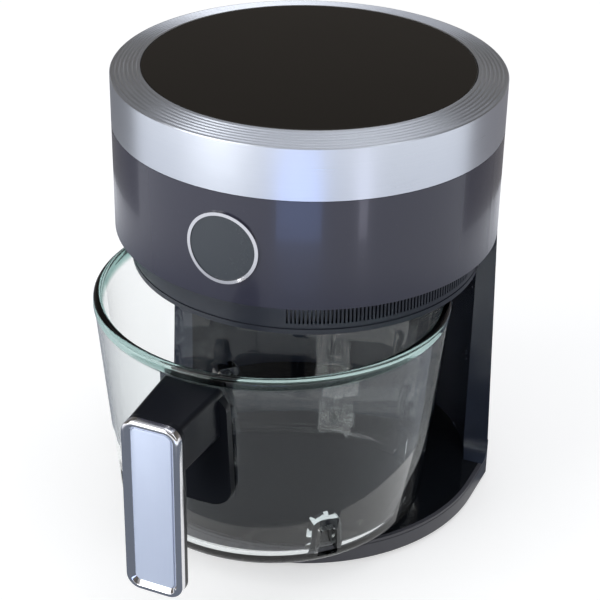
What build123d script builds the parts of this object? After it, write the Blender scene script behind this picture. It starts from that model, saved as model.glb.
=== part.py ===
from build123d import *
import math
import os

os.makedirs("parts", exist_ok=True)

# A countertop hot-air fryer: a round head on a rear column over a flat base, with a glass bowl
# that slides out of the front on its handle. Millimetres, +Z up, front towards -Y. The origin is
# on the surface that the feet stand on, under the middle of the whole object.

# Driving sizes: head
head_r = 120.0  # outside of the band and of the metal ring
head_top_z = 283.5  # outer edge of the ring's top
ring_side_h = 31.5
ring_bevel_w = 18.7  # the grooved slope between the ring's side and the glass
ring_bevel_rise = 3.0
band_h = 68.4
skirt_r = 110.0
skirt_h = 22.0
head_wall = 2.5

# Driving sizes: base and column
foot_h = 3.0
foot_r = 10.0
base_r = 120.5
base_side_h = 12.5
base_wall = 2.6
column_foot_r = 125.0  # the column widens from the head's radius to this one at the base
jamb_y = 35.0  # front faces of the column, behind the head's axis
column_wall = 2.5
jamb_foot_r = 12.0  # the hollow curve where each jamb meets the base

# Driving sizes: bowl
bowl_rim_r = 110.2
bowl_taper = 12.6  # the rim's radius less the bottom's
bowl_rim_h = 7.2
bowl_clear = 4.1  # between the rim and the skirt above it
bowl_glass = 5.0
bowl_corner_r = 10.0
bowl_rim_bead = 0.7
lug_w = 22.0
lug_h = 33.0
lug_depth = 9.8

# Driving sizes: handle, measured from the bowl's axis
handle_reach = 161.5
handle_w = 36.0
handle_low_z = 36.5
handle_top_z = 151.5
handle_corner_r = 9.0
frame_t = 5.0
grip_t = 3.6
arm_h = 32.0
bracket_w = 46.0
bracket_h = 80.0
bracket_t = 5.5

# Where the bowl stands, measured forward from the head's axis
bowl_out = 49.8  # as shown, partly pulled out
bowl_parked = 10.0  # pushed right in
bowl_side_gap = 2.2  # between the parked rim and the column

# Clearances
seam = 0.3  # between a piece that moves and its neighbour, and across a visible joint line
seat = 0.1  # between pieces of one assembly that rest on each other
running = 0.05  # radial, a shaft in its bearing
slack = 0.2  # radial, a screw in a clearance hole

# Derived places
head_y = (bowl_out + handle_reach - column_foot_r) / 2
bowl_y = head_y - bowl_out
base_low_z = foot_h
base_top_z = foot_h + base_side_h
ring_low_z = head_top_z - ring_side_h
band_top_z = ring_low_z - seam
band_low_z = band_top_z - band_h
skirt_low_z = band_low_z - skirt_h
glass_r = head_r - ring_bevel_w
glass_top_z = head_top_z + ring_bevel_rise
bowl_low_z = base_top_z + seam
bowl_top_z = skirt_low_z - bowl_clear
bowl_h = bowl_top_z - bowl_low_z
bowl_bottom_r = bowl_rim_r - bowl_taper
column_h = band_low_z - base_top_z
liner_r = bowl_rim_r + bowl_side_gap
liner_outer_r = liner_r + column_wall
head_inner_r = head_r - head_wall

head_axis = Axis((0, head_y, 0), (0, 0, 1))
bowl_axis = Axis((0, bowl_y, 0), (0, 0, 1))
head_section = Plane((0, head_y, 0), x_dir=(1, 0, 0), z_dir=(0, -1, 0))
bowl_section = Plane((0, bowl_y, 0), x_dir=(1, 0, 0), z_dir=(0, -1, 0))


def level(z):
    """A flat plane at height z, centred on the head's axis."""
    return Plane((0, head_y, z))


def bowl_level(z):
    """A flat plane at height z, centred on the bowl's axis."""
    return Plane((0, bowl_y, z))


def spoke_section(angle):
    """An upright plane through the head's axis, turned by angle from +X."""
    a = math.radians(angle)
    return Plane((0, head_y, 0), x_dir=(math.cos(a), math.sin(a), 0), z_dir=(math.sin(a), -math.cos(a), 0))


def polar(radius, angle):
    """A point about the head's axis, at angle degrees from +X."""
    return (radius * math.cos(math.radians(angle)), radius * math.sin(math.radians(angle)))


def column_outer_r(z):
    """Radius of the column's outside at height z."""
    return column_foot_r - (column_foot_r - head_r) * (z - base_top_z) / column_h


def bowl_wall_r(z):
    """Radius of the glass bowl's sloping outside at height z."""
    return bowl_bottom_r + (bowl_rim_r - bowl_rim_bead - bowl_bottom_r) * (z - bowl_low_z) / (bowl_h - bowl_rim_h)


def save(piece, name):
    """Label one finished piece and write its file."""
    piece.part.label = name
    export_step(piece.part, "parts/" + name + ".step")


def base_outline(inset):
    """The base seen from above: round in front, straight flanks, a wider arc under the column."""
    Circle(column_foot_r - inset)
    with Locations((0, column_foot_r)):
        Rectangle(2 * (base_r - inset), 2 * column_foot_r, mode=Mode.INTERSECT)
    Circle(base_r - inset)


# Base
bottom_plate_t = 2.0
floor_t = 2.5
ledge_w = 6.0
ledge_t = 2.0
rim_seam_depth = 0.5
rim_seam_drop = 2.0
base_screw_r = 1.5
base_screw_length = 8.0
base_screw_head_r = 3.0
base_screw_head_t = 1.2
boss_r = 4.0
cover_gap = 0.15
screw_spots = [(-70, -62), (70, -62), (-70, 72), (70, 72)]
foot_spots = [(-78, -74), (78, -74), (-86, 60), (86, 60)]
floor_low_z = base_top_z - floor_t
plate_top_z = base_low_z + bottom_plate_t

seam_z = base_top_z - rim_seam_drop - rim_seam_depth

with BuildPart() as base_shell:
    for low, high, inset in (
        (base_low_z, seam_z, 0),
        (seam_z, seam_z + rim_seam_depth, rim_seam_depth),
        (seam_z + rim_seam_depth, base_top_z, 0),
    ):
        with BuildSketch(level(low)):
            base_outline(inset)
        extrude(amount=high - low)
    with BuildSketch(level(base_low_z)):
        base_outline(base_wall)
    extrude(amount=base_side_h, mode=Mode.SUBTRACT)
    with BuildSketch(level(floor_low_z - seat - ledge_t)):
        base_outline(base_wall)
    extrude(amount=ledge_t)
    with BuildSketch(level(floor_low_z - seat - ledge_t)):
        base_outline(base_wall + ledge_w)
    extrude(amount=ledge_t, mode=Mode.SUBTRACT)
save(base_shell, "base_shell")

with BuildPart() as base_floor:
    with BuildSketch(level(floor_low_z)):
        base_outline(base_wall + cover_gap)
    extrude(amount=floor_t)
    with BuildSketch(level(plate_top_z + seat)):
        with Locations(*screw_spots):
            Circle(boss_r)
    extrude(amount=floor_low_z - plate_top_z - seat)
    with BuildSketch(level(plate_top_z + seat)):
        with Locations(*screw_spots):
            Circle(base_screw_r)
    extrude(amount=base_screw_length - bottom_plate_t, mode=Mode.SUBTRACT)
save(base_floor, "base_floor")

with BuildPart() as base_bottom_plate:
    with BuildSketch(level(base_low_z)):
        base_outline(base_wall + cover_gap)
        with Locations(*screw_spots):
            Circle(base_screw_r + slack, mode=Mode.SUBTRACT)
    extrude(amount=bottom_plate_t)
save(base_bottom_plate, "base_bottom_plate")

with BuildPart() as base_screws:
    with BuildSketch(level(base_low_z - base_screw_head_t)):
        with Locations(*screw_spots):
            Circle(base_screw_head_r)
    extrude(amount=base_screw_head_t)
    with BuildSketch(level(base_low_z)):
        with Locations(*screw_spots):
            Circle(base_screw_r)
    extrude(amount=base_screw_length)
save(base_screws, "base_screws")

with BuildPart() as rubber_feet:
    with BuildSketch(level(0)):
        with Locations(*foot_spots):
            Circle(foot_r)
    extrude(amount=foot_h)
    chamfer(rubber_feet.edges().group_by(Axis.Z)[0], length=0.6)
save(rubber_feet, "rubber_feet")

# Column
shelf_t = 2.5
shelf_z = skirt_low_z - seam - shelf_t
board_x = 30.0
board_boss_r = 4.0
board_y = liner_outer_r - bowl_parked + 1.1  # tips of the bosses, behind the column's lining
boss_start_y = board_y - 11.0  # inside the lining's curve
switch_z = bowl_top_z - 4.2
board_boss_z = (switch_z - 91.0, switch_z - 25.0)
plunger_r = 2.0
plunger_reach = 1.8
plunger_hole_depth = 20.0
side_reach = 2 * column_foot_r

with BuildPart() as column_foot:
    with BuildSketch(Plane((0, head_y, 0), x_dir=(0, 1, 0), z_dir=(1, 0, 0))):
        with BuildLine():
            Line((jamb_y, base_top_z), (jamb_y, base_top_z + jamb_foot_r))
            RadiusArc((jamb_y, base_top_z + jamb_foot_r), (jamb_y - jamb_foot_r, base_top_z), jamb_foot_r)
            Line((jamb_y - jamb_foot_r, base_top_z), (jamb_y, base_top_z))
        make_face()
    extrude(amount=side_reach, both=True)
    with BuildSketch(level(base_top_z)):
        base_outline(0)
        with Locations((0, -bowl_parked)):
            Circle(liner_r, mode=Mode.SUBTRACT)
    extrude(amount=jamb_foot_r, mode=Mode.INTERSECT)

with BuildPart() as column_liner:
    with BuildSketch(level(base_top_z)):
        with Locations((0, -bowl_parked)):
            Circle(liner_outer_r)
        with Locations((0, jamb_y + column_wall / 2)):
            Rectangle(side_reach, column_wall)
        with Locations((0, jamb_y - column_foot_r)):
            Rectangle(side_reach, 2 * column_foot_r, mode=Mode.SUBTRACT)
    extrude(amount=column_h)
    with BuildSketch(Plane((0, head_y + boss_start_y, 0), x_dir=(1, 0, 0), z_dir=(0, 1, 0))):
        with Locations(*[(x, -z) for x in (-board_x, board_x) for z in board_boss_z]):
            Circle(board_boss_r)
    extrude(amount=board_y - boss_start_y)
    with BuildSketch(level(shelf_z)):
        Circle(skirt_r + 3)
        with Locations((0, jamb_y - column_foot_r)):
            Rectangle(side_reach, 2 * column_foot_r, mode=Mode.SUBTRACT)
    extrude(amount=shelf_t)
    with BuildSketch(level(base_top_z)):
        with Locations((0, -bowl_parked)):
            Circle(liner_r)
    extrude(amount=column_h, mode=Mode.SUBTRACT)
    with BuildSketch(head_section):
        with BuildLine():
            Polyline(
                (0, base_top_z),
                (column_foot_r, base_top_z),
                (head_r, band_low_z),
                (0, band_low_z),
                close=True,
            )
        make_face()
    revolve(axis=head_axis, mode=Mode.INTERSECT)
    with BuildSketch(level(skirt_low_z - seam)):
        Circle(skirt_r + seam)
    extrude(amount=column_h, mode=Mode.SUBTRACT)
    add(column_foot.part)
    with BuildSketch(Plane((0, head_y + boss_start_y, switch_z), x_dir=(1, 0, 0), z_dir=(0, 1, 0))):
        Circle(plunger_r + seam)
    extrude(amount=plunger_hole_depth, mode=Mode.SUBTRACT)
save(column_liner, "column_liner")

vent_count = 6
vent_w = 64.0
vent_h = 3.0
vent_pitch = 5.5
vent_mid_z = 164.0
gland_z = 34.0
gland_r = 8.0
gland_bore_r = 3.6
gland_flange_r = 11.0
gland_flange_t = 2.0
cover_wall = 2.5

with BuildPart() as column_rear_cover:
    with BuildSketch(head_section):
        with BuildLine():
            Polyline(
                (column_foot_r - cover_wall, base_top_z),
                (column_foot_r, base_top_z),
                (head_r, band_low_z),
                (head_r - cover_wall, band_low_z),
                close=True,
            )
        make_face()
    revolve(axis=head_axis)
    with BuildSketch(level(base_top_z)):
        with Locations((0, jamb_y + column_wall + seat + column_foot_r)):
            Rectangle(side_reach, 2 * column_foot_r)
    extrude(amount=column_h, mode=Mode.INTERSECT)
    with BuildSketch(Plane((0, head_y + liner_r, vent_mid_z), x_dir=(1, 0, 0), z_dir=(0, 1, 0))):
        with GridLocations(0, vent_pitch, 1, vent_count):
            SlotOverall(vent_w, vent_h)
    extrude(amount=column_foot_r, mode=Mode.SUBTRACT)
    with BuildSketch(Plane((0, head_y + liner_r, gland_z), x_dir=(1, 0, 0), z_dir=(0, 1, 0))):
        Circle(gland_r + seat)
    extrude(amount=column_foot_r, mode=Mode.SUBTRACT)
save(column_rear_cover, "column_rear_cover")

gland_inner_y = column_outer_r(gland_z + gland_flange_r) - cover_wall - 1.2
with BuildPart() as cord_gland:
    with BuildSketch(Plane((0, head_y + gland_inner_y, gland_z), x_dir=(1, 0, 0), z_dir=(0, 1, 0))):
        Circle(gland_r)
        Circle(gland_bore_r, mode=Mode.SUBTRACT)
    extrude(amount=column_outer_r(gland_z) - gland_inner_y)
    with BuildSketch(Plane((0, head_y + gland_inner_y, gland_z), x_dir=(1, 0, 0), z_dir=(0, -1, 0))):
        Circle(gland_flange_r)
        Circle(gland_bore_r, mode=Mode.SUBTRACT)
    extrude(amount=gland_flange_t)
save(cord_gland, "cord_gland")

board_w = 76.0
board_h = 86.0
board_t = 1.6
board_mid_z = sum(board_boss_z) / 2
board_plane = Plane((0, head_y + board_y + seat, board_mid_z), x_dir=(1, 0, 0), z_dir=(0, 1, 0))
board_holes = [(x, board_mid_z - z) for x in (-board_x, board_x) for z in board_boss_z]
board_screw_r = 1.4
board_blocks = [((-14, 18), (20, 16)), ((13, 14), (16, 22)), ((0, -14), (24, 20))]  # transformer, relays
board_block_h = 7.5
capacitor_spots = [(-22, -8), (22, -8)]
capacitor_r = 4.5
capacitor_h = 6.0

with BuildPart() as power_board:
    with BuildSketch(board_plane):
        Rectangle(board_w, board_h)
        with Locations(*board_holes):
            Circle(board_screw_r + slack, mode=Mode.SUBTRACT)
    extrude(amount=board_t)
    with BuildSketch(board_plane.offset(board_t)):
        for spot, size in board_blocks:
            with Locations(spot):
                Rectangle(*size)
    extrude(amount=board_block_h)
    with BuildSketch(board_plane.offset(board_t)):
        with Locations(*capacitor_spots):
            Circle(capacitor_r)
    extrude(amount=capacitor_h)
save(power_board, "power_board")

with BuildPart() as board_screws:
    with BuildSketch(board_plane.offset(board_t)):
        with Locations(*board_holes):
            Circle(2 * board_screw_r)
    extrude(amount=1.6)
    with BuildSketch(board_plane):
        with Locations(*board_holes):
            Circle(board_screw_r)
    extrude(amount=board_t)
save(board_screws, "board_screws")

switch_front_y = liner_outer_r - bowl_parked + 0.4
switch_depth = 6.5
plunger_length = 6.4
plunger_tip_y = liner_r - bowl_parked - plunger_reach
switch_plane = Plane((0, head_y + switch_front_y, switch_z), x_dir=(1, 0, 0), z_dir=(0, 1, 0))

with BuildPart() as safety_switch:
    with BuildSketch(switch_plane):
        Rectangle(20, 9)
    extrude(amount=switch_depth)
    with BuildSketch(switch_plane):
        Circle(plunger_r + running)
    extrude(amount=switch_depth - 1, mode=Mode.SUBTRACT)
save(safety_switch, "safety_switch")

with BuildPart() as switch_plunger:
    with BuildSketch(Plane((0, head_y + plunger_tip_y, switch_z), x_dir=(1, 0, 0), z_dir=(0, 1, 0))):
        Circle(plunger_r)
    extrude(amount=plunger_length)
    fillet(switch_plunger.edges().group_by(Axis.Y)[0], radius=1)
save(switch_plunger, "switch_plunger")

# Head casing
flange_t = 2.5
flange_inner_r = 106.2
top_ledge_r = 112.0
mid_ledge_r = 113.0
mid_ledge_top_z = band_low_z + 22.9
duct_w = 80.0
duct_mid_y = 113.2
duct_depth = 5.0
badge_z = head_top_z - 66.1
shield_screw_r = 1.2
shield_screw_ring = 115.2
shield_screw_angles = [45, 135, 225, 315]

with BuildPart() as head_band:
    with BuildSketch(head_section):
        with BuildLine():
            Polyline(
                (flange_inner_r, band_low_z),
                (head_r, band_low_z),
                (head_r, band_top_z),
                (top_ledge_r, band_top_z),
                (top_ledge_r, band_top_z - flange_t),
                (head_inner_r, band_top_z - flange_t),
                (head_inner_r, mid_ledge_top_z),
                (mid_ledge_r, mid_ledge_top_z),
                (mid_ledge_r, mid_ledge_top_z - flange_t),
                (head_inner_r, mid_ledge_top_z - flange_t),
                (head_inner_r, band_low_z + flange_t),
                (flange_inner_r, band_low_z + flange_t),
                close=True,
            )
        make_face()
    revolve(axis=head_axis)
    with BuildSketch(level(band_low_z)):
        with Locations((0, duct_mid_y)):
            Rectangle(duct_w, duct_depth)
        with Locations((0, head_r + 60)):
            Circle(60 + 4, mode=Mode.SUBTRACT)
    extrude(amount=flange_t, mode=Mode.SUBTRACT)
    with BuildSketch(level(mid_ledge_top_z - flange_t)):
        with Locations(*[polar(shield_screw_ring, a) for a in shield_screw_angles]):
            Circle(shield_screw_r)
    extrude(amount=flange_t, mode=Mode.SUBTRACT)
save(head_band, "head_band")

skirt_wall = 2.5
slot_count = 56
slot_pitch = 1.25  # degrees
slot_start = -72.0  # degrees from +X, so the slots lie on the front right
slot_w = 1.1
slot_h = 13.0
slot_top_gap = 2.0
skirt_groove_z = skirt_low_z + 3.2
skirt_groove_h = 1.0
skirt_groove_depth = 0.8

with BuildPart() as head_skirt:
    with BuildSketch(level(skirt_low_z)):
        Circle(skirt_r)
        Circle(skirt_r - skirt_wall, mode=Mode.SUBTRACT)
    extrude(amount=skirt_h)
    with BuildSketch(level(skirt_groove_z)):
        Circle(skirt_r)
        Circle(skirt_r - skirt_groove_depth, mode=Mode.SUBTRACT)
    extrude(amount=skirt_groove_h, mode=Mode.SUBTRACT)
    with BuildSketch(level(band_low_z - slot_top_gap)):
        with PolarLocations(skirt_r, slot_count, slot_start, slot_pitch * slot_count):
            Rectangle(4 * skirt_wall, slot_w)
    extrude(amount=-slot_h, mode=Mode.SUBTRACT)
save(head_skirt, "head_skirt")

groove_count = 6
groove_depth = 0.5
groove_margin = 1.6
glass_t = 2.9
lip_r = glass_r - 5.0
lip_t = 2.0
groove_pitch = (ring_bevel_w - 2 * groove_margin) / groove_count
bevel_slope = ring_bevel_rise / ring_bevel_w
glass_low_z = glass_top_z - glass_t


def bevel_point(inward, depth=0.0):
    """A point on the ring's grooved slope, inward of the ring's outer edge and depth below it."""
    return (head_r - inward, head_top_z + bevel_slope * inward - depth)


ring_top = [bevel_point(0)]
for i in range(groove_count):
    start = groove_margin + i * groove_pitch
    ring_top.append(bevel_point(start))
    ring_top.append(bevel_point(start + groove_pitch / 4, groove_depth))
    ring_top.append(bevel_point(start + groove_pitch / 2, groove_depth))
    ring_top.append(bevel_point(start + groove_pitch * 3 / 4))
ring_top.append(bevel_point(ring_bevel_w - seam))

with BuildPart() as head_ring:
    with BuildSketch(head_section):
        with BuildLine():
            Polyline(
                (head_inner_r, ring_low_z),
                (head_r, ring_low_z),
                *ring_top,
                (glass_r + seam, glass_low_z),
                (lip_r, glass_low_z),
                (lip_r, glass_low_z - lip_t),
                (head_inner_r, glass_low_z - lip_t),
                close=True,
            )
        make_face()
    revolve(axis=head_axis)
    chamfer(head_ring.edges().filter_by_position(Axis.Z, head_top_z - 0.01, head_top_z + 0.01), length=0.5)
save(head_ring, "head_ring")

with BuildPart() as control_glass:
    with BuildSketch(level(glass_low_z)):
        Circle(glass_r)
    extrude(amount=glass_t)
    fillet(control_glass.edges().group_by(Axis.Z)[-1], radius=0.5)
save(control_glass, "control_glass")

carrier_disc_z = 268.0
carrier_t = 2.0
carrier_wall = 2.5
carrier_r = head_inner_r - slack
carrier_top_z = glass_low_z - lip_t - seat
control_post_r = 4.0
control_posts = [polar(75, a) for a in (45, 135, 225, 315)]
control_board_z = 277.0
control_board_r = 88.0
control_board_t = 1.6

with BuildPart() as control_carrier:
    with BuildSketch(head_section):
        with BuildLine():
            Polyline(
                (top_ledge_r, band_top_z + seat),
                (carrier_r, band_top_z + seat),
                (carrier_r, carrier_top_z),
                (carrier_r - carrier_wall, carrier_top_z),
                (carrier_r - carrier_wall, carrier_disc_z + carrier_t),
                (0, carrier_disc_z + carrier_t),
                (0, carrier_disc_z),
                (carrier_r - carrier_wall, carrier_disc_z),
                (carrier_r - carrier_wall, band_top_z + seat + carrier_t),
                (top_ledge_r, band_top_z + seat + carrier_t),
                close=True,
            )
        make_face()
    revolve(axis=head_axis)
    with BuildSketch(level(carrier_disc_z + carrier_t)):
        with Locations(*control_posts):
            Circle(control_post_r)
    extrude(amount=control_board_z - carrier_disc_z - carrier_t)
save(control_carrier, "control_carrier")

with BuildPart() as control_board:
    with BuildSketch(level(control_board_z)):
        Circle(control_board_r)
    extrude(amount=control_board_t)
save(control_board, "control_board")

board_top_z = control_board_z + control_board_t
display_gap = glass_low_z - board_top_z - seat
display_w = 70.0
display_d = 26.0
display_forward = 30.0
spring_r = 3.0
spring_wire = 0.8
spring_circle_r = 62.0

with BuildPart() as display_module:
    with BuildSketch(level(board_top_z)):
        with Locations((0, -display_forward)):
            Rectangle(display_w, display_d)
    extrude(amount=display_gap)
save(display_module, "display_module")

with BuildPart() as touch_springs:
    with BuildSketch(level(board_top_z)):
        with PolarLocations(spring_circle_r, 8, 22.5):
            Circle(spring_r)
            Circle(spring_r - spring_wire, mode=Mode.SUBTRACT)
    extrude(amount=display_gap)
save(touch_springs, "touch_springs")

# Badge, bare
badge_r = 22.3
badge_ring_w = 2.0
badge_disc_t = 0.8
badge_ring_t = 1.4
badge_plane = Plane((0, head_y, badge_z), x_dir=(1, 0, 0), z_dir=(0, -1, 0))


for name, thickness, outer_r, inner_r in (
    ("badge_disc", badge_disc_t, badge_r - badge_ring_w - seat, 0),
    ("badge_ring", badge_ring_t, badge_r, badge_r - badge_ring_w),
):
    with BuildPart() as badge:
        with BuildSketch(level(badge_z - badge_r)):
            Circle(head_r + seat + thickness)
            Circle(head_r + seat, mode=Mode.SUBTRACT)
        extrude(amount=2 * badge_r)
        with BuildSketch(badge_plane):
            Circle(outer_r)
            if inner_r:
                Circle(inner_r, mode=Mode.SUBTRACT)
        extrude(amount=2 * head_r, mode=Mode.INTERSECT)
    save(badge, name)

# Heating chamber in the head
sheet = 0.8
reflector_r = flange_inner_r - 0.4
reflector_low_z = skirt_low_z + 2.5
reflector_top_z = band_low_z + 14.7
reflector_flange_r = 111.5
shaft_hole_r = 14.0
element_r = 3.2
element_z = band_low_z - 9.1
element_outer_r = 82.0
element_inner_r = 64.0
element_leg_top_z = mid_ledge_top_z - 1.0
element_start = 100
element_sweep = 340
bushing_r = 6.0
bushing_h = 5.0
sensor_r = 2.2
sensor_spot = polar(93, 230)
cutout_spot = polar(45, 270)
cutout_r = 8.0
cutout_h = 6.0
leg_spots = [polar(element_outer_r, element_start), polar(element_inner_r, element_start)]

with BuildPart() as heater_reflector:
    with BuildSketch(head_section):
        with BuildLine():
            Polyline(
                (reflector_r - sheet, reflector_low_z),
                (reflector_r, reflector_low_z),
                (reflector_r, band_low_z + flange_t + seat),
                (reflector_flange_r, band_low_z + flange_t + seat),
                (reflector_flange_r, band_low_z + flange_t + seat + sheet),
                (reflector_r, band_low_z + flange_t + seat + sheet),
                (reflector_r, reflector_top_z),
                (shaft_hole_r, reflector_top_z),
                (shaft_hole_r, reflector_top_z - sheet),
                (reflector_r - sheet, reflector_top_z - sheet),
                close=True,
            )
        make_face()
    revolve(axis=head_axis)
    with BuildSketch(level(reflector_top_z - sheet)):
        with Locations(*leg_spots):
            Circle(bushing_r + seat)
        with Locations(sensor_spot):
            Circle(sensor_r + slack)
    extrude(amount=sheet, mode=Mode.SUBTRACT)
save(heater_reflector, "heater_reflector")

with BuildPart() as heating_element:
    for ring_r in (element_outer_r, element_inner_r):
        with BuildSketch(spoke_section(element_start)):
            with Locations((ring_r, element_z)):
                Circle(element_r)
        revolve(axis=head_axis, revolution_arc=element_sweep)
    with BuildSketch(level(element_z)):
        with Locations(*leg_spots):
            Circle(element_r)
    extrude(amount=element_leg_top_z - element_z)
    end = element_start + element_sweep
    link_x, link_y = polar(element_inner_r, end)
    along = (math.cos(math.radians(end)), math.sin(math.radians(end)), 0)
    with BuildSketch(Plane((link_x, head_y + link_y, element_z), x_dir=(0, 0, 1), z_dir=along)):
        Circle(element_r)
    extrude(amount=element_outer_r - element_inner_r)
    ends = [*leg_spots, polar(element_outer_r, end), polar(element_inner_r, end)]
    with Locations(*[(x, head_y + y, element_z) for x, y in ends]):
        Sphere(element_r)
save(heating_element, "heating_element")

with BuildPart() as heater_bushings:
    with BuildSketch(level(reflector_top_z - sheet - 1.5)):
        with Locations(*leg_spots):
            Circle(bushing_r)
            Circle(element_r, mode=Mode.SUBTRACT)
    extrude(amount=bushing_h)
save(heater_bushings, "heater_bushings")

clip_t = 1.2
clip_w = 10.0
clip_angles = [30, 210, 330]
clip_low_z = element_z + element_r + seat
clip_span = element_outer_r - element_inner_r + 2 * element_r

with BuildPart() as heater_clips:
    with BuildSketch(level(clip_low_z)):
        for a in clip_angles:
            with Locations(Location((*polar((element_outer_r + element_inner_r) / 2, a), 0), (0, 0, a))):
                Rectangle(clip_span, clip_w)
    extrude(amount=clip_t)
    with BuildSketch(level(clip_low_z)):
        for a in clip_angles:
            with Locations(Location((*polar((element_outer_r + element_inner_r) / 2, a), 0), (0, 0, a))):
                Rectangle(clip_t, clip_w)
    extrude(amount=reflector_top_z - sheet - clip_low_z)
save(heater_clips, "heater_clips")

guard_t = 1.5
guard_r = reflector_r - sheet - seam
guard_bar = 2.0
guard_rings = 6

with BuildPart() as guard_grille:
    with BuildSketch(level(reflector_low_z + 0.5)):
        for i in range(guard_rings):
            Circle(guard_r - i * guard_r / guard_rings)
            Circle(guard_r - i * guard_r / guard_rings - guard_bar, mode=Mode.SUBTRACT)
        with PolarLocations(guard_r / 2, 6, 15):
            Rectangle(guard_r - guard_bar, guard_bar)
        Circle(guard_r / guard_rings - guard_bar)
    extrude(amount=guard_t)
save(guard_grille, "guard_grille")

with BuildPart() as temperature_sensor:
    with BuildSketch(level(reflector_top_z - 16)):
        with Locations(sensor_spot):
            Circle(sensor_r)
    extrude(amount=20)
    with BuildSketch(level(reflector_top_z + seat)):
        with Locations(sensor_spot):
            Circle(2 * sensor_r)
    extrude(amount=1.5)
save(temperature_sensor, "temperature_sensor")

with BuildPart() as thermal_cutout:
    with BuildSketch(level(reflector_top_z + seat)):
        with Locations(cutout_spot):
            Circle(cutout_r)
    extrude(amount=cutout_h)
save(thermal_cutout, "thermal_cutout")

shield_t = 1.2
shield_z = mid_ledge_top_z + seat
shield_hole_r = 12.0
shield_screw_head_r = 2.1

with BuildPart() as heat_shield:
    with BuildSketch(level(shield_z)):
        Circle(head_inner_r - seam)
        Circle(shield_hole_r, mode=Mode.SUBTRACT)
        with Locations(*[polar(shield_screw_ring, a) for a in shield_screw_angles]):
            Circle(shield_screw_r + running, mode=Mode.SUBTRACT)
    extrude(amount=shield_t)
save(heat_shield, "heat_shield")

with BuildPart() as head_screws:
    with BuildSketch(level(mid_ledge_top_z - flange_t)):
        with Locations(*[polar(shield_screw_ring, a) for a in shield_screw_angles]):
            Circle(shield_screw_r)
    extrude(amount=flange_t + seat + shield_t)
    with BuildSketch(level(shield_z + shield_t)):
        with Locations(*[polar(shield_screw_ring, a) for a in shield_screw_angles]):
            Circle(shield_screw_head_r)
    extrude(amount=1.2)
save(head_screws, "head_screws")

# Fan drive: one shaft carries the hot-air fan, the cooling fan and the rotor
shaft_r = 3.0
hot_fan_low_z = band_low_z + 1.0
hot_fan_h = 10.5
hot_fan_r = 53.0
hot_fan_blades = 8
nut_h = 4.5
cool_fan_low_z = shield_z + 6.0
cool_fan_h = 10.0
cool_fan_r = 72.0
cool_fan_blades = 9
blade_t = 1.2
hub_r = 9.0
bracket_z = cool_fan_low_z + cool_fan_h + 4.0
motor_bracket_t = 2.0
motor_r = 27.0
motor_h = 28.0
motor_end_t = 3.0
rotor_r = 11.5
rotor_space_r = 12.0
bearing_r = 6.0
motor_z = bracket_z + motor_bracket_t
shaft_low_z = hot_fan_low_z - nut_h - 1.0
shaft_top_z = motor_z + motor_h - 0.5


hot_disc_z = hot_fan_low_z + hot_fan_h - blade_t

for name, low_z, height, radius, blades, disc_z in (
    ("convection_fan", hot_fan_low_z, hot_fan_h, hot_fan_r, hot_fan_blades, hot_disc_z),
    ("cooling_fan", cool_fan_low_z, cool_fan_h, cool_fan_r, cool_fan_blades, cool_fan_low_z),
):
    with BuildPart() as impeller:
        with BuildSketch(level(low_z)):
            Circle(hub_r)
            with PolarLocations((radius + hub_r) / 2 - 1, blades):
                Rectangle(radius - hub_r, blade_t)
        extrude(amount=height)
        with BuildSketch(level(disc_z)):
            Circle(radius)
        extrude(amount=blade_t)
        with BuildSketch(level(low_z)):
            Circle(shaft_r)
        extrude(amount=height, mode=Mode.SUBTRACT)
    save(impeller, name)

with BuildPart() as motor_shaft:
    with BuildSketch(level(shaft_low_z)):
        Circle(shaft_r)
    extrude(amount=shaft_top_z - shaft_low_z)
save(motor_shaft, "motor_shaft")

with BuildPart() as fan_nut:
    with BuildSketch(level(hot_fan_low_z - nut_h)):
        RegularPolygon(radius=2 * shaft_r, side_count=6)
        Circle(shaft_r, mode=Mode.SUBTRACT)
    extrude(amount=nut_h)
save(fan_nut, "fan_nut")

with BuildPart() as motor_rotor:
    with BuildSketch(level(motor_z + motor_end_t + 1.5)):
        Circle(rotor_r)
        Circle(shaft_r, mode=Mode.SUBTRACT)
    extrude(amount=motor_h - 2 * motor_end_t - 3)
save(motor_rotor, "motor_rotor")

with BuildPart() as motor_housing:
    with BuildSketch(level(motor_z)):
        Circle(motor_r)
        Circle(bearing_r, mode=Mode.SUBTRACT)
    extrude(amount=motor_h)
    with BuildSketch(level(motor_z + motor_end_t)):
        Circle(rotor_space_r)
    extrude(amount=motor_h - 2 * motor_end_t, mode=Mode.SUBTRACT)
save(motor_housing, "motor_housing")

with BuildPart() as shaft_bearings:
    for z in (motor_z, motor_z + motor_h - motor_end_t):
        with BuildSketch(level(z)):
            Circle(bearing_r)
            Circle(shaft_r + running, mode=Mode.SUBTRACT)
        extrude(amount=motor_end_t)
save(shaft_bearings, "shaft_bearings")

arm_w = 12.0
leg_r = 4.0
leg_ring = 104.0

with BuildPart() as motor_bracket:
    with BuildSketch(level(bracket_z)):
        Circle(motor_r + 7)
        with PolarLocations(leg_ring / 2, 4):
            Rectangle(leg_ring, arm_w)
        with PolarLocations(leg_ring, 4):
            Circle(arm_w / 2)
        Circle(bearing_r + 2, mode=Mode.SUBTRACT)
    extrude(amount=motor_bracket_t)
    with BuildSketch(level(shield_z + shield_t)):
        with PolarLocations(leg_ring, 4):
            Circle(leg_r)
    extrude(amount=bracket_z - shield_z - shield_t)
save(motor_bracket, "motor_bracket")

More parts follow.
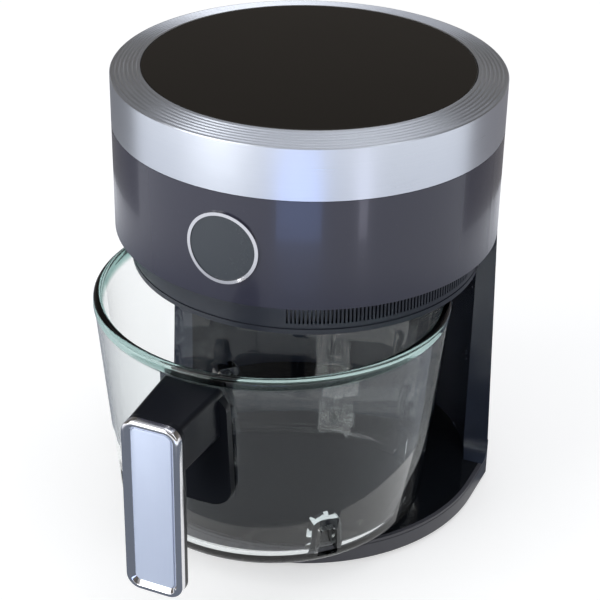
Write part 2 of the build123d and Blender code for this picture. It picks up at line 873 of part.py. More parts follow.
# Glass bowl
rim_top_r = bowl_rim_r - 6.0
rim_mid_r = bowl_rim_r - 3.0
rim_shoulder_z = bowl_top_z - 3.0
bead_low_z = bowl_low_z + bowl_h - bowl_rim_h
bowl_floor_z = bowl_low_z + bowl_glass
lug_round = 3.0
lug_mid_r = bowl_bottom_r - 1.6 - lug_depth / 2
pocket_w = 13.0  # each lug is hollow, open to the outside
pocket_h = 20.0
pocket_z = bowl_low_z + 7.0
pocket_round = 2.0
pocket_depth = 7.0
pocket_cut = 12.0

with BuildPart() as glass_bowl:
    with BuildSketch(bowl_section):
        with BuildLine():
            FilletPolyline(
                (0, bowl_low_z),
                (bowl_bottom_r, bowl_low_z),
                (bowl_rim_r - bowl_rim_bead, bead_low_z),
                radius=bowl_corner_r,
            )
            Polyline(
                (bowl_rim_r - bowl_rim_bead, bead_low_z),
                (bowl_rim_r, bead_low_z + 1.2),
                (bowl_rim_r, rim_shoulder_z),
            )
            ThreePointArc((bowl_rim_r, rim_shoulder_z), (rim_mid_r, bowl_top_z), (rim_top_r, rim_shoulder_z))
            FilletPolyline(
                (rim_top_r, rim_shoulder_z),
                (bowl_bottom_r - bowl_glass, bowl_floor_z),
                (0, bowl_floor_z),
                radius=bowl_corner_r,
            )
            Line((0, bowl_floor_z), (0, bowl_low_z))
        make_face()
    revolve(axis=bowl_axis)
    with BuildSketch(bowl_level(bowl_floor_z - 0.5)):
        with PolarLocations(lug_mid_r, 4, 45):
            RectangleRounded(lug_depth, lug_w, lug_round)
    extrude(amount=lug_h - bowl_glass + 0.5)
    with BuildSketch(bowl_level(pocket_z)):
        with PolarLocations(bowl_bottom_r - pocket_depth + pocket_cut / 2, 4, 45):
            RectangleRounded(pocket_cut, pocket_w, pocket_round)
    extrude(amount=pocket_h, mode=Mode.SUBTRACT)
save(glass_bowl, "glass_bowl")

# Handle
pad_t = 0.8
pad_inset = 4.0
bracket_low_z = 68.0
bracket_corner_r = 12.0
grip_back_y = handle_reach - frame_t - grip_t
grip_mid_z = (handle_low_z + handle_top_z) / 2
grip_h = handle_top_z - handle_low_z
arm_top_z = handle_top_z - 1.5
arm_low_z = arm_top_z - arm_h
arm_front_w = 32.0
arm_back_w = 39.0
arm_corner_r = 3.0
arm_root = 14.0  # how far the arm starts inside the rim's radius
frame_round = 1.8
frame_lip = 3.0
frame_recess = 2.6
recess_corner_r = 6.5
inlay_t = 0.6
inlay_corner_r = 3.6
handle_screw_r = 1.9
handle_screw_depth = 16.0
handle_screw_spare = 2.0  # the hole is this much deeper
handle_screw_z = (arm_low_z + 9.0, arm_top_z - 9.0)


def wall_band(inner_gap, outer_gap):
    """Corners of a band along the bowl's sloping wall, from inner_gap to outer_gap outside it."""
    low, high = bracket_low_z - 10, bead_low_z
    return [
        (bowl_wall_r(low) + inner_gap, low),
        (bowl_wall_r(low) + outer_gap, low),
        (bowl_wall_r(high) + outer_gap, high),
        (bowl_wall_r(high) + inner_gap, high),
    ]


def front_plane(distance, z):
    """An upright plane that faces the front, at a distance before the bowl's axis."""
    return Plane((0, bowl_y - distance, z), x_dir=(1, 0, 0), z_dir=(0, -1, 0))


bracket_mid_z = bracket_low_z + bracket_h / 2

with BuildPart() as handle_pad:
    with BuildSketch(front_plane(bowl_bottom_r / 2, bracket_mid_z)):
        RectangleRounded(bracket_w - 2 * pad_inset, bracket_h - 2 * pad_inset, bracket_corner_r - pad_inset)
    extrude(amount=bowl_rim_r)
    with BuildSketch(bowl_section):
        with BuildLine():
            Polyline(*wall_band(running, pad_t), close=True)
        make_face()
    revolve(axis=bowl_axis, mode=Mode.INTERSECT)
save(handle_pad, "handle_pad")

with BuildPart() as handle_arm:
    with BuildSketch(bowl_level(arm_low_z)):
        Polygon(
            (-arm_back_w / 2, arm_root - bowl_rim_r),
            (-arm_front_w / 2, -grip_back_y - grip_t / 2),
            (arm_front_w / 2, -grip_back_y - grip_t / 2),
            (arm_back_w / 2, arm_root - bowl_rim_r),
            align=None,
        )
    extrude(amount=arm_h)
    level_edges = [e for e in handle_arm.edges() if abs(e.tangent_at(0.5).Z) < 0.1 and abs(e.tangent_at(0.5).Y) > 0.9]
    fillet(level_edges, radius=arm_corner_r)

with BuildPart() as handle_body:
    with BuildSketch(front_plane(bowl_bottom_r / 2, bracket_mid_z)):
        RectangleRounded(bracket_w, bracket_h, bracket_corner_r)
    extrude(amount=bowl_rim_r)
    with BuildSketch(bowl_section):
        with BuildLine():
            Polyline(*wall_band(pad_t + running, pad_t + bracket_t), close=True)
        make_face()
    revolve(axis=bowl_axis, mode=Mode.INTERSECT)
    add(handle_arm.part)
    with BuildSketch(front_plane(grip_back_y, grip_mid_z)):
        RectangleRounded(handle_w, grip_h, handle_corner_r)
    extrude(amount=grip_t)
    with BuildSketch(bowl_section):
        with BuildLine():
            Polyline(
                (0, arm_low_z - 10),
                (bowl_wall_r(arm_low_z - 10) + pad_t + running, arm_low_z - 10),
                (bowl_wall_r(bead_low_z) + pad_t + running, bead_low_z),
                (bowl_rim_r + seam, bead_low_z),
                (bowl_rim_r + seam, bowl_top_z),
                (0, bowl_top_z),
                close=True,
            )
        make_face()
    revolve(axis=bowl_axis, mode=Mode.SUBTRACT)
    with BuildSketch(front_plane(grip_back_y - handle_screw_depth - handle_screw_spare, 0)):
        with Locations(*[(0, z) for z in handle_screw_z]):
            Circle(handle_screw_r)
    extrude(amount=grip_t + handle_screw_depth + handle_screw_spare, mode=Mode.SUBTRACT)
save(handle_body, "handle_body")

frame_back = front_plane(grip_back_y + grip_t, grip_mid_z)
recess_w = handle_w - 2 * frame_lip
recess_h = grip_h - 2 * frame_lip
inlay_w = recess_w - 2 * frame_recess - 2 * seat
inlay_h = recess_h - 2 * frame_recess - 2 * seat
frame_front = Plane((0, bowl_y - handle_reach, grip_mid_z), x_dir=(1, 0, 0), z_dir=(0, 1, 0))

with BuildPart() as handle_frame:
    with BuildSketch(frame_back):
        RectangleRounded(handle_w, grip_h, handle_corner_r)
    extrude(amount=frame_t)
    fillet(handle_frame.edges().group_by(Axis.Y)[0], radius=frame_round)
    with BuildSketch(frame_front):
        RectangleRounded(recess_w, recess_h, recess_corner_r)
    extrude(amount=frame_recess, taper=45, mode=Mode.SUBTRACT)
save(handle_frame, "handle_frame")

with BuildPart() as handle_inlay:
    with BuildSketch(frame_front.offset(frame_recess - inlay_t)):
        RectangleRounded(inlay_w, inlay_h, inlay_corner_r)
    extrude(amount=inlay_t)
save(handle_inlay, "handle_inlay")

with BuildPart() as handle_screws:
    with BuildSketch(front_plane(grip_back_y - handle_screw_depth, 0)):
        with Locations(*[(0, z) for z in handle_screw_z]):
            Circle(handle_screw_r)
    extrude(amount=grip_t + handle_screw_depth)
save(handle_screws, "handle_screws")
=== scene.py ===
# Glass air fryer: a round head on a rear column, over a glass bowl that slides out on its handle.
import math

import bmesh
import bpy
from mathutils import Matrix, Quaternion, Vector


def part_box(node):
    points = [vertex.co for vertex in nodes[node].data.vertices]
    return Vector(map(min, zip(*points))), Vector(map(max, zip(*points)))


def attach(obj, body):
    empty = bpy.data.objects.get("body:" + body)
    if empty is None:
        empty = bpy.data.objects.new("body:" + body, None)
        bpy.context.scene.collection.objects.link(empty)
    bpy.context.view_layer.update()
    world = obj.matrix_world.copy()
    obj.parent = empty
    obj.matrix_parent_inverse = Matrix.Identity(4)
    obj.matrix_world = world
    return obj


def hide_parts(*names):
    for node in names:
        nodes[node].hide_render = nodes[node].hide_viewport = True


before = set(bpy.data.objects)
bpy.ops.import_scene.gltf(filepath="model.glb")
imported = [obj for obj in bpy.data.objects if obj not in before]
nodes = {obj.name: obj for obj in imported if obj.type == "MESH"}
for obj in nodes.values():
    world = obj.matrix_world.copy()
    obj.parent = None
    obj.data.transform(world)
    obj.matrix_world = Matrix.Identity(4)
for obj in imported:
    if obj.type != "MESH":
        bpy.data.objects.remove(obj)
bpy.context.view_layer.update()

mm = 0.001
head_low, head_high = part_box("head_band")
head_y = (head_low.y + head_high.y) / 2
bowl_low, bowl_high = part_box("glass_bowl")
bowl_y = (bowl_low.y + bowl_high.y) / 2

# Camera, as in the photograph
camera_place = Vector((0.3842, -0.8489, 0.6662))
camera_aim = Vector((-0.0029, 0.0419, 0.1228))
camera_roll = Quaternion((0, 0, 1), math.radians(1.007))

camera_data = bpy.data.cameras.new("camera")
camera_data.lens = 103.07
camera_data.sensor_width = 36.0
camera_data.clip_start = 0.01
camera_data.clip_end = 60.0
camera = bpy.data.objects.new("camera", camera_data)
bpy.context.scene.collection.objects.link(camera)
camera.rotation_mode = "QUATERNION"
camera.location = camera_place
camera.rotation_quaternion = (camera_aim - camera_place).to_track_quat("-Z", "Y") @ camera_roll
bpy.context.scene.camera = camera
bpy.context.scene.view_settings.view_transform = "Standard"


# Nodes
class Signal:
    """One output of a node; sums written with it add Math nodes."""

    def __init__(self, wiring, socket):
        self.wiring = wiring
        self.socket = socket

    def math(self, operation, *terms):
        return self.wiring.node("Math", dict(enumerate(terms)), operation=operation)

    def __add__(self, other):
        return self.math("ADD", self, other)

    __radd__ = __add__

    def __sub__(self, other):
        return self.math("SUBTRACT", self, other)

    def __rsub__(self, other):
        return self.math("SUBTRACT", other, self)

    def __mul__(self, other):
        return self.math("MULTIPLY", self, other)

    __rmul__ = __mul__

    def __pow__(self, other):
        return self.math("POWER", self, other)

    def within(self, low, high):
        """0 below low and 1 above high, with a soft step between."""
        sockets = {"Value": self, "From Min": low, "From Max": high}
        return self.wiring.node("MapRange", sockets, interpolation_type="SMOOTHSTEP")


class Wiring:
    """The nodes of a finish or of the world."""

    def __init__(self, tree):
        self.tree = tree

    def node(self, kind, sockets=None, out=0, **settings):
        """Adds a node with its settings and the values or links of its sockets."""
        node = self.tree.nodes.new("ShaderNode" + kind)
        stops = settings.pop("stops", None)
        for name, value in settings.items():
            setattr(node, name, value)
        if stops:
            ramp = node.color_ramp
            while len(ramp.elements) < len(stops):
                ramp.elements.new(0.5)
            for element, (position, colour) in zip(ramp.elements, stops):
                element.position = position
                element.color = (*colour, 1.0)
        for name, value in (sockets or {}).items():
            self.feed(node.inputs[name], value)
        return Signal(self, node.outputs[out])

    def feed(self, socket, value):
        if isinstance(value, Signal):
            self.tree.links.new(value.socket, socket)
        else:
            socket.default_value = value

    def colour(self, value):
        return value if isinstance(value, Signal) else (*value, 1.0)

    def blend(self, mask, first, second):
        """first where mask is 0, second where it is 1."""
        sockets = {0: mask, 6: self.colour(first), 7: self.colour(second)}
        return self.node("Mix", sockets, out=2, data_type="RGBA")

    def rays(self, *kinds):
        """1 for a ray of one of these kinds, else 0."""
        found, *others = (self.node("LightPath", out=f"Is {kind} Ray") for kind in kinds)
        for other in others:
            found = found.math("MAXIMUM", found, other)
        return found


class Finish(Wiring):
    """A material round one Principled shader."""

    def __init__(self, name, **constants):
        self.material = bpy.data.materials.new(name)
        self.material.use_nodes = True
        super().__init__(self.material.node_tree)
        self.shader = self.tree.nodes["Principled BSDF"]
        self.put(**constants)
        self.place = self.node("TexCoord", out="Object")
        parts = self.node("SeparateXYZ", {0: self.place}).socket.node.outputs
        self.x, self.y, self.z = (Signal(self, parts[axis]) for axis in "XYZ")

    def put(self, **sockets):
        for name, value in sockets.items():
            self.feed(self.shader.inputs[name.replace("_", " ")], value)
        return self.material

    def noise(self, scale, detail=4.0, rough=0.55, at=None):
        place = at or self.place
        sockets = {"Vector": place, "Scale": scale, "Detail": detail, "Roughness": rough}
        return self.node("TexNoise", sockets)

    def stretched(self, *scale):
        """The place on the piece, scaled along x, y and z."""
        return self.node("Mapping", {"Vector": self.place, "Scale": scale})

    def around(self, centre_y):
        """Distance from an upright axis at the given y."""
        away = self.y - centre_y
        return (self.x * self.x + away * away) ** 0.5

    def bump(self, height, distance, strength=1.0):
        sockets = {"Height": height, "Distance": distance, "Strength": strength}
        return self.node("Bump", sockets)


# Finishes
def turned_metal(name, light, dark, rough, centre_y):
    """Satin metal with fine lines that run round an upright axis."""
    finish = Finish(name, Metallic=1.0)
    lines_per_metre = 2600.0
    across = (finish.around(centre_y) + finish.z) * lines_per_metre
    along = finish.node("CombineXYZ", {"X": finish.x * 14.0, "Y": finish.y * 14.0, "Z": across})
    lines = finish.noise(1.0, detail=5.0, rough=0.7, at=along)
    cloud = finish.noise(22.0, detail=3.0)
    marks = finish.noise(260.0, detail=6.0, rough=0.75).within(0.68, 0.8)
    return finish.put(
        Base_Color=finish.blend(lines * 0.55 + cloud * 0.45, dark, light),
        Roughness=lines * 0.12 + cloud * 0.06 + marks * 0.12 + (rough - 0.09),
        Normal=finish.bump(lines, 0.01 * mm, 0.35),
    )


def gloss_plastic(name, colour, tint, rough, grain=0.04 * mm, dust=0.10, coat=0.35):
    """Polished moulded plastic: a faint ripple, colour drift and specks of dust."""
    gloss = 0.25 + 0.7 * coat
    finish = Finish(name, Coat_Weight=coat, Coat_Roughness=0.06, Specular_IOR_Level=gloss)
    drift = finish.noise(9.0)
    ripple = finish.noise(160.0, detail=3.0)
    specks = finish.noise(1400.0, detail=2.0, rough=0.5).within(0.74, 0.8)
    rub = finish.noise(48.0, detail=6.0, rough=0.7).within(0.5, 0.75)
    clean = finish.blend(drift, colour, tint)
    waves = ripple * 0.7 + finish.noise(30.0, detail=2.0) * 0.3
    return finish.put(
        Base_Color=finish.blend(specks * dust, clean, (0.55, 0.55, 0.55)),
        Roughness=ripple * 0.05 + rub * 0.06 + specks * 0.2 + (rough - 0.05),
        Normal=finish.bump(waves, grain, 0.3),
    )


def moulded_plastic(name, colour, tint, rough, grain=0.03 * mm):
    """Satin plastic with the fine spark texture of its mould."""
    finish = Finish(name, Specular_IOR_Level=0.45)
    spark = finish.noise(1900.0, detail=3.0, rough=0.6)
    drift = finish.noise(12.0)
    rub = finish.noise(60.0, detail=6.0, rough=0.7).within(0.5, 0.8)
    return finish.put(
        Base_Color=finish.blend(drift * 0.7 + spark * 0.3, colour, tint),
        Roughness=spark * 0.14 + rub * 0.08 + (rough - 0.1),
        Normal=finish.bump(spark, grain, 0.4),
    )


def plain_metal(name, light, dark, rough, scale=(1.0, 1.0, 1.0), metallic=1.0):
    """Drawn or polished metal with lines along the axis whose scale is smallest."""
    finish = Finish(name, Metallic=metallic)
    lines = finish.noise(300.0, rough=0.65, at=finish.stretched(*scale))
    cloud = finish.noise(40.0, detail=3.0)
    spots = finish.noise(500.0, rough=0.7).within(0.66, 0.78)
    return finish.put(
        Base_Color=finish.blend(lines * 0.6 + cloud * 0.4, dark, light),
        Roughness=lines * 0.08 + cloud * 0.04 + spots * 0.1 + (rough - 0.06),
        Normal=finish.bump(lines, 0.006 * mm, 0.3),
    )


def black_glass():
    """Back-painted glass with faint wiping marks."""
    finish = Finish("black_glass", Specular_IOR_Level=0.5, IOR=1.5)
    haze = finish.noise(14.0, detail=5.0, rough=0.6)
    smear = finish.noise(30.0, rough=0.6, at=finish.stretched(1.0, 3.0, 1.0)).within(0.45, 0.8)
    specks = finish.noise(1700.0, detail=2.0).within(0.75, 0.8)
    return finish.put(
        Base_Color=finish.blend(haze, (0.0035, 0.0026, 0.0018), (0.0055, 0.0043, 0.0032)),
        Roughness=smear * 0.07 + specks * 0.25 + 0.035,
        Normal=finish.bump(finish.noise(20.0, detail=2.0), 0.02 * mm, 0.1),
    )


def bowl_glass():
    """Clear glass, pale green in its depth, with a painted shade of dark teal on its rim."""
    finish = Finish("bowl_glass", Transmission_Weight=1.0, IOR=1.46, Specular_IOR_Level=0.4)
    ripple = finish.noise(22.0, detail=1.0, rough=0.5, at=finish.stretched(1.0, 1.0, 0.45))
    # Painted shade: the top few millimetres of the rim bead get a dark teal colour for the dark
    # look of the thick rim glass
    rim = finish.z.within(bowl_high.z - 9 * mm, bowl_high.z - 5 * mm)
    smear = finish.noise(60.0, detail=5.0, rough=0.7).within(0.6, 0.85)
    clear = finish.blend(ripple, (0.965, 0.972, 0.975), (0.985, 0.988, 0.99))
    depth = finish.node("VolumeAbsorption", {"Color": (0.72, 0.86, 0.86, 1.0), "Density": 16.0})
    finish.feed(finish.tree.nodes["Material Output"].inputs["Volume"], depth)
    return finish.put(
        # Painted shade: dark teal painted onto the rim
        Base_Color=finish.blend(rim, clear, (0.25, 0.42, 0.39)),
        Roughness=smear * 0.008,
        Normal=finish.bump(ripple, 0.4 * mm, 0.25),
    )


def circuit_board():
    """Green solder mask over copper tracks, with tinned pads."""
    finish = Finish("circuit_board", Specular_IOR_Level=0.5)
    cells = {"Vector": finish.place, "Scale": 420.0}
    tracks = finish.node("TexVoronoi", cells, distance="CHEBYCHEV").within(0.42, 0.47)
    pads = finish.noise(700.0, detail=0.0).within(0.7, 0.72)
    mask = finish.blend(tracks * 0.6, (0.006, 0.06, 0.022), (0.02, 0.13, 0.05))
    return finish.put(
        Base_Color=finish.blend(pads, mask, (0.55, 0.5, 0.42)),
        Roughness=0.42 - tracks * 0.12,
        Normal=finish.bump(tracks, 0.04 * mm, 0.5),
    )


def ceramic():
    """Unglazed insulator, stained by heat."""
    finish = Finish("ceramic", Specular_IOR_Level=0.4)
    pores = finish.noise(900.0, detail=5.0, rough=0.7)
    stain = finish.noise(120.0).within(0.5, 0.8)
    return finish.put(
        Base_Color=finish.blend(stain, (0.78, 0.75, 0.68), (0.62, 0.56, 0.47)),
        Roughness=pores * 0.2 + 0.5,
        Normal=finish.bump(pores, 0.05 * mm, 0.5),
    )


def element_steel():
    """Sheath of the heating element, with the straw and blue tint of heat."""
    finish = Finish("element_steel", Metallic=1.0)
    heat = finish.noise(38.0, rough=0.6)
    scale = finish.noise(800.0, detail=5.0, rough=0.7)
    stops = [(0.35, (0.16, 0.15, 0.15)), (0.5, (0.25, 0.19, 0.13)), (0.62, (0.14, 0.15, 0.2))]
    tint = finish.node("ValToRGB", {"Fac": heat}, stops=stops)
    return finish.put(
        Base_Color=finish.blend(scale * 0.5, tint, (0.09, 0.08, 0.075)),
        Roughness=scale * 0.25 + 0.3,
        Normal=finish.bump(scale, 0.03 * mm, 0.5),
    )


def plain_name(material):
    """A material's name without the number that a second one of that name gets."""
    return material.name.split(".")[0]


finishes = {
    plain_name(material): material
    for material in (
        turned_metal("ring_aluminium", (0.73, 0.77, 0.84), (0.61, 0.65, 0.72), 0.30, head_y),
        plain_metal("fan_aluminium", (0.80, 0.80, 0.80), (0.62, 0.62, 0.63), 0.32),
        plain_metal("chrome", (0.88, 0.88, 0.90), (0.80, 0.80, 0.83), 0.10),
        plain_metal(
            "inlay_metal", (0.69, 0.77, 0.94), (0.62, 0.70, 0.89), 0.36,
            scale=(8.0, 8.0, 0.12), metallic=0.3,
        ),
        plain_metal("steel", (0.60, 0.60, 0.60), (0.46, 0.46, 0.47), 0.30),
        plain_metal("brass", (0.78, 0.60, 0.28), (0.62, 0.45, 0.18), 0.28),
        element_steel(),
        plain_metal("sooty_steel", (0.16, 0.155, 0.15), (0.10, 0.098, 0.096), 0.45),
        gloss_plastic("band_plastic", (0.030, 0.031, 0.052), (0.036, 0.037, 0.058), 0.22),
        moulded_plastic("skirt_plastic", (0.016, 0.020, 0.032), (0.021, 0.025, 0.038), 0.45),
        gloss_plastic("badge_plastic", (0.034, 0.043, 0.054), (0.042, 0.051, 0.062), 0.28),
        gloss_plastic(
            "handle_plastic", (0.003, 0.004, 0.006), (0.005, 0.006, 0.010), 0.32,
            dust=0.03, coat=0.0,
        ),
        gloss_plastic(
            "floor_plastic", (0.004, 0.005, 0.007), (0.007, 0.008, 0.010), 0.14,
            grain=0.008 * mm, dust=0.04,
        ),
        gloss_plastic("column_plastic", (0.021, 0.027, 0.044), (0.026, 0.033, 0.052), 0.26),
        moulded_plastic("base_plastic", (0.055, 0.055, 0.066), (0.066, 0.066, 0.078), 0.42),
        moulded_plastic("white_plastic", (0.72, 0.72, 0.69), (0.66, 0.66, 0.62), 0.45),
        moulded_plastic(
            "rubber", (0.016, 0.016, 0.017), (0.024, 0.024, 0.025), 0.75,
            grain=0.08 * mm,
        ),
        black_glass(),
        bowl_glass(),
        circuit_board(),
        ceramic(),
    )
}

for node in nodes.values():
    for holder in node.material_slots:
        holder.material = finishes[plain_name(holder.material)]
nodes["heater_reflector"].material_slots[0].material = finishes["sooty_steel"]


# Shaping
def lone(piece):
    """Selects this piece only."""
    bpy.ops.object.select_all(action="DESELECT")
    piece.select_set(True)
    bpy.context.view_layer.objects.active = piece


def added(name, primitive, **settings):
    """A new primitive with its place in its mesh, and nothing else selected."""
    bpy.ops.object.select_all(action="DESELECT")
    getattr(bpy.ops.mesh, f"primitive_{primitive}_add")(**settings)
    piece = bpy.context.object
    piece.name = name
    bpy.ops.object.transform_apply(location=True, rotation=True, scale=True)
    return piece


def edit_all_points():
    bpy.ops.object.mode_set(mode="EDIT")
    bpy.ops.mesh.select_mode(type="VERT")
    bpy.ops.mesh.select_all(action="SELECT")


def choose(piece, kind, test):
    """In edit mode, selects the piece's edges or faces that pass the test."""
    bpy.ops.mesh.select_all(action="DESELECT")
    bpy.ops.mesh.select_mode(type={"edges": "EDGE", "faces": "FACE"}[kind])
    mesh = bmesh.from_edit_mesh(piece.data)
    for element in getattr(mesh, kind):
        element.select_set(test(element))
    mesh.select_flush_mode()
    bmesh.update_edit_mesh(piece.data)


def middle_of(edge):
    return (edge.verts[0].co + edge.verts[1].co) / 2


def runs_back(edge):
    """True for an edge that runs from front to back."""
    return abs(edge.verts[0].co.y - edge.verts[1].co.y) > 0.3 * mm


def on_front(edge, front_y):
    return max(v.co.y for v in edge.verts) < front_y + 0.01 * mm


def block(name, low, high):
    """A box between two corners, left in edit mode."""
    low, high = Vector(low), Vector(high)
    piece = added(name, "cube", size=1, location=(low + high) / 2, scale=high - low)
    bpy.ops.object.mode_set(mode="EDIT")
    return piece


def point(name, place):
    """A piece of one vertex, selected and left in edit mode, to extrude from."""
    piece = added(name, "plane", size=mm, location=place)
    edit_all_points()
    bpy.ops.mesh.merge(type="CENTER")
    return piece


def turned(name, profile, centre_y):
    """A closed solid turned round an upright axis from (radius, height) points."""
    radius, height = profile[0]
    piece = point(name, (radius, centre_y, height))
    for (r0, z0), (r1, z1) in zip(profile, profile[1:]):
        move = {"value": (r1 - r0, 0, z1 - z0)}
        bpy.ops.mesh.extrude_region_move(TRANSFORM_OT_translate=move)
    bpy.ops.mesh.select_all(action="SELECT")
    axis = {"center": (0, centre_y, 0), "axis": (0, 0, 1)}
    bpy.ops.mesh.spin(steps=160, angle=math.tau, **axis)
    bpy.ops.mesh.select_all(action="SELECT")
    bpy.ops.mesh.remove_doubles(threshold=0.01 * mm)
    bpy.ops.mesh.normals_make_consistent(inside=False)
    bpy.ops.object.mode_set(mode="OBJECT")
    return piece


def arc(centre, radius, start, end, count):
    """Points of an arc in a turned profile, by angles in degrees."""
    angles = [math.radians(start + (end - start) * i / count) for i in range(count + 1)]
    return [(centre[0] + radius * math.cos(a), centre[1] + radius * math.sin(a)) for a in angles]


def cut_or_join(target, tool, operation):
    """Applies a boolean with the tool, which is then gone."""
    lone(target)
    change = target.modifiers.new("change", "BOOLEAN")
    change.operation = operation
    change.object = tool
    bpy.ops.object.modifier_apply(modifier="change")
    bpy.data.objects.remove(tool)


def finished(piece, body, slot, *stands_for, angle=30.0):
    """Gives a piece its shading, finish and body."""
    bpy.ops.object.mode_set(mode="OBJECT")
    lone(piece)
    bpy.ops.object.shade_smooth_by_angle(angle=math.radians(angle))
    piece.data.materials.clear()
    piece.data.materials.append(finishes[slot])
    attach(piece, body)
    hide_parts(*stands_for)


# Glass bowl: one turned wall with a rounded rim
wall = 5.0 * mm
corner = 10.0 * mm
bead = 3.0 * mm
rim_wall = 6.0 * mm
rim_r = (bowl_high.x - bowl_low.x) / 2
bottom_r = rim_r - 12.6 * mm
neck_r = rim_r - 0.7 * mm
neck_z = bowl_high.z - 7.2 * mm
shoulder_z = neck_z + 1.2 * mm
bead_z = bowl_high.z - bead
inner_low = bowl_low.z + wall
bottom_middle_r = bottom_r * 0.5


def lean(out, up):
    """A wall's angle from upright, in degrees."""
    return math.degrees(math.atan2(out, up))


def corner_centre(edge_r, low, lean_angle):
    """Centre of the rounding between a level bottom and a leaning wall."""
    inward = corner / math.tan(math.radians(45 + lean_angle / 2))
    return edge_r - inward, low + corner


outer_lean = lean(neck_r - bottom_r, neck_z - bowl_low.z)
inner_lean = lean(rim_r - rim_wall - bottom_r + wall, bead_z - inner_low)
bowl_profile = [
    (0.0, bowl_low.z),
    (bottom_middle_r, bowl_low.z),
    *arc(corner_centre(bottom_r, bowl_low.z, outer_lean), corner, -90, -outer_lean, 9),
    (neck_r, neck_z),
    (rim_r, shoulder_z),
    *arc((rim_r - bead, bead_z), bead, 0, 180, 10),
    *arc(corner_centre(bottom_r - wall, inner_low, inner_lean), corner, -inner_lean, -90, 9),
    (bottom_middle_r, inner_low),
    (0.0, inner_low),
]
bowl = turned("bowl", bowl_profile, bowl_y)

# Its four moulded feet, with a pocket in each from outside
foot_out = bottom_r - 1.6 * mm
foot_in = foot_out - 9.8 * mm
foot_low = inner_low - 0.5 * mm
foot_top = bowl_low.z + 33 * mm
foot_half = 11 * mm
foot_crown = 4 * mm
pocket_in = bottom_r - 7 * mm
pocket_out = bottom_r + 5 * mm
pocket_low = bowl_low.z + 7 * mm
pocket_top = pocket_low + 20 * mm
pocket_half = 6.5 * mm
pocket_crown = 2.5 * mm


def foot_block(inner, outer, low, top, half, crown, turn):
    """A block in the bowl's corner, narrower at its rounded top, turned to its place."""
    piece = block("foot", (inner, bowl_y - half, low), (outer, bowl_y + half, top))

    def on_crown(edge):
        middle = middle_of(edge)
        return middle.z > top - mm and abs(middle.y - bowl_y) > half * 0.5

    choose(piece, "faces", lambda f: f.normal.z > 0.9)
    bpy.ops.transform.resize(value=(1, 0.76, 1))
    choose(piece, "edges", on_crown)
    bpy.ops.mesh.bevel(offset=crown, segments=6)
    bpy.ops.mesh.select_all(action="SELECT")
    axis = {"orient_axis": "Z", "center_override": (0, bowl_y, 0)}
    bpy.ops.transform.rotate(value=math.radians(-turn), **axis)
    bpy.ops.mesh.normals_make_consistent(inside=False)
    bpy.ops.object.mode_set(mode="OBJECT")
    return piece


for turn in (45, 135, 225, 315):
    foot = foot_block(foot_in, foot_out, foot_low, foot_top, foot_half, foot_crown, turn)
    cut_or_join(bowl, foot, "UNION")
    pocket = foot_block(
        pocket_in, pocket_out, pocket_low, pocket_top, pocket_half, pocket_crown, turn
    )
    cut_or_join(bowl, pocket, "DIFFERENCE")
finished(bowl, "bowl", "bowl_glass", "glass_bowl")

# Handle plate: a rounded chrome frame, dished at 45 degrees down to a satin panel
plate_low, plate_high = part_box("handle_frame")
plate_middle_z = (plate_low.z + plate_high.z) / 2
plate_corner = 9.0 * mm
lip = 3.0 * mm
dish = 2.6 * mm
straight_x = plate_high.x - plate_corner
straight_z = (plate_high.z - plate_low.z) / 2 - plate_corner


def on_outline(edge):
    """True for a front edge on the plate's outer outline."""
    middle = middle_of(edge)
    near_side = abs(middle.x) > straight_x - 0.01 * mm
    near_end = abs(middle.z - plate_middle_z) > straight_z
    meets_side = any(abs(f.normal.y) < 0.1 for f in edge.link_faces)
    return on_front(edge, plate_low.y) and meets_side and (near_side or near_end)


def on_dish(edge):
    """True for a front edge where the dish begins."""
    meets_dish = any(0.5 < -f.normal.y < 0.9 for f in edge.link_faces)
    return on_front(edge, plate_low.y) and meets_dish


plate = block("handle_plate", plate_low, plate_high)
choose(plate, "edges", runs_back)
bpy.ops.mesh.bevel(offset=plate_corner, segments=12)
choose(plate, "faces", lambda f: f.normal.y < -0.9)
bpy.ops.mesh.inset(thickness=lip)
bpy.ops.mesh.inset(thickness=dish, depth=-dish)
choose(plate, "edges", on_outline)
bpy.ops.mesh.bevel(offset=1.8 * mm, segments=6)
choose(plate, "edges", on_dish)
bpy.ops.mesh.bevel(offset=0.45 * mm, segments=3)
finished(plate, "bowl", "chrome", "handle_frame", angle=40.0)

inlay_low, inlay_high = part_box("handle_inlay")
panel = block("handle_panel", inlay_low, inlay_high)
choose(panel, "edges", runs_back)
bpy.ops.mesh.bevel(offset=3.6 * mm, segments=10)
choose(panel, "edges", lambda e: on_front(e, inlay_low.y))
bpy.ops.mesh.bevel(offset=0.25 * mm, segments=3)
finished(panel, "bowl", "inlay_metal", "handle_inlay", angle=40.0)

# Floor: it shows white, and still takes the object's shadow
floor = added("studio_floor", "plane", size=16.0)
paint = Finish("studio_floor", Roughness=0.9, Specular_IOR_Level=0.0, Emission_Strength=1.0)
shows = paint.rays("Camera", "Glossy", "Transmission")
floor.data.materials.append(
    paint.put(
        Base_Color=paint.blend(paint.noise(3.0), (0.60, 0.60, 0.60), (0.62, 0.62, 0.62)),
        Emission_Color=paint.blend(shows, (0.0, 0.0, 0.0), (0.52, 0.52, 0.52)),
    )
)

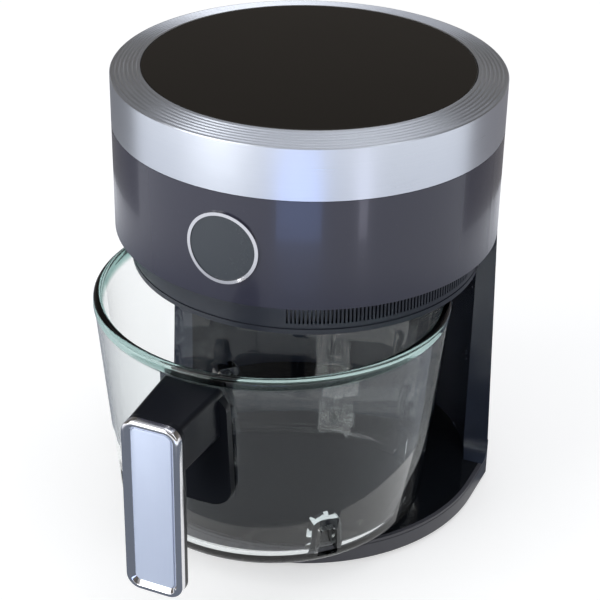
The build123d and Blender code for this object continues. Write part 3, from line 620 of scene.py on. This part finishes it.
# World: white behind the object, grey as a light, and a dark studio in reflections
world = bpy.data.worlds.new("studio")
bpy.context.scene.world = world
world.use_nodes = True
sky = Wiring(world.node_tree)
direction = sky.node("TexCoord", out="Generated")
upward = sky.node("SeparateXYZ", {0: direction}, out="Z")
studio_by_height = [
    (0.0, (1.0, 1.0, 1.0)),
    (0.03, (0.20, 0.18, 0.16)),
    (0.56, (0.085, 0.08, 0.075)),
    (0.72, (0.62, 0.62, 0.64)),
    (1.0, (0.55, 0.55, 0.58)),
]
studio = sky.node("ValToRGB", {"Fac": upward}, stops=studio_by_height)
plain = sky.blend(sky.rays("Camera", "Transmission"), (0.60, 0.61, 0.63), (1.0, 1.0, 1.0))
background = sky.tree.nodes["Background"]
sky.feed(background.inputs["Color"], sky.blend(sky.rays("Glossy"), plain, studio))


# Lamps
def lamp(name, place, aim, size, power, colour=(1.0, 1.0, 1.0)):
    """A soft rectangular lamp that faces its aim."""
    data = bpy.data.lights.new(name, "AREA")
    data.shape = "RECTANGLE"
    data.size, data.size_y = size
    data.energy = power
    data.color = colour
    holder = bpy.data.objects.new(name, data)
    bpy.context.scene.collection.objects.link(holder)
    holder.location = place
    facing = Vector(aim) - Vector(place)
    holder.rotation_euler = facing.to_track_quat("-Z", "Y").to_euler()


middle = (0.0, 0.0, 0.15)
grip = (-0.06, -0.19, 0.07)
lamp("key_softbox", (-1.3, -1.5, 1.7), middle, (1.5, 1.5), 16.0)
lamp("fill_softbox", (1.9, -0.5, 1.3), middle, (1.0, 1.6), 5.5, (0.94, 0.97, 1.0))
lamp("top_softbox", (0.2, 0.7, 2.2), middle, (1.6, 1.2), 8.0)
lamp("handle_softbox", (-0.45, -1.0, 0.25), grip, (0.55, 0.55), 3.4)


# Cards and a mat that only reflections show
def glowing_paint(name):
    black = (0.0, 0.0, 0.0, 1.0)
    constants = {"Roughness": 1.0, "Specular_IOR_Level": 0.0, "Emission_Strength": 1.0}
    return Finish(name, Base_Color=black, **constants)


def reflected_only(piece, paint):
    piece.data.materials.append(paint)
    piece.visible_camera = False
    piece.visible_diffuse = False
    piece.visible_transmission = False
    piece.visible_shadow = False


def card(name, start, end, radius, height, colour):
    """An upright card curved round the head, by angles from the front, anticlockwise."""
    first = math.radians(start - 90)
    foot_of_edge = (radius * math.cos(first), head_y + radius * math.sin(first), 0)
    piece = point(name, foot_of_edge)
    bpy.ops.mesh.extrude_region_move(TRANSFORM_OT_translate={"value": (0, 0, height)})
    bpy.ops.mesh.select_all(action="SELECT")
    axis = {"center": (0, head_y, 0), "axis": (0, 0, 1)}
    bpy.ops.mesh.spin(steps=24, angle=math.radians(start - end), **axis)  # turns clockwise
    bpy.ops.object.mode_set(mode="OBJECT")
    reflected_only(piece, glowing_paint(name).put(Emission_Color=(*colour, 1.0)))


mat_inner_r = 0.14
mat_outer_r = 0.77
mat = added("grey_mat", "circle", vertices=64, radius=mat_inner_r, location=(0, 0, 0.5 * mm))
edit_all_points()
bpy.ops.mesh.extrude_region_move(TRANSFORM_OT_translate={"value": (0, 0, 0)})
widening = mat_outer_r / mat_inner_r
bpy.ops.transform.resize(value=(widening, widening, 1))
bpy.ops.object.mode_set(mode="OBJECT")
mat_paint = glowing_paint("grey_mat")
outward = mat_paint.around(0.0).within(0.36, 0.50)
mat_glow = mat_paint.blend(outward, (0.16, 0.18, 0.22), (0.78, 0.80, 0.86))
reflected_only(mat, mat_paint.put(Emission_Color=mat_glow))

card("blue_card", 8.0, 31.0, 0.56, 0.060, (1.35, 1.75, 3.1))
card("thin_card", 50.0, 54.5, 0.56, 0.060, (3.0, 3.0, 3.6))
card("left_flag", -165.0, -80.0, 0.50, 0.27, (0.20, 0.20, 0.21))
card("right_flag", 116.0, 215.0, 0.50, 0.27, (0.24, 0.23, 0.24))
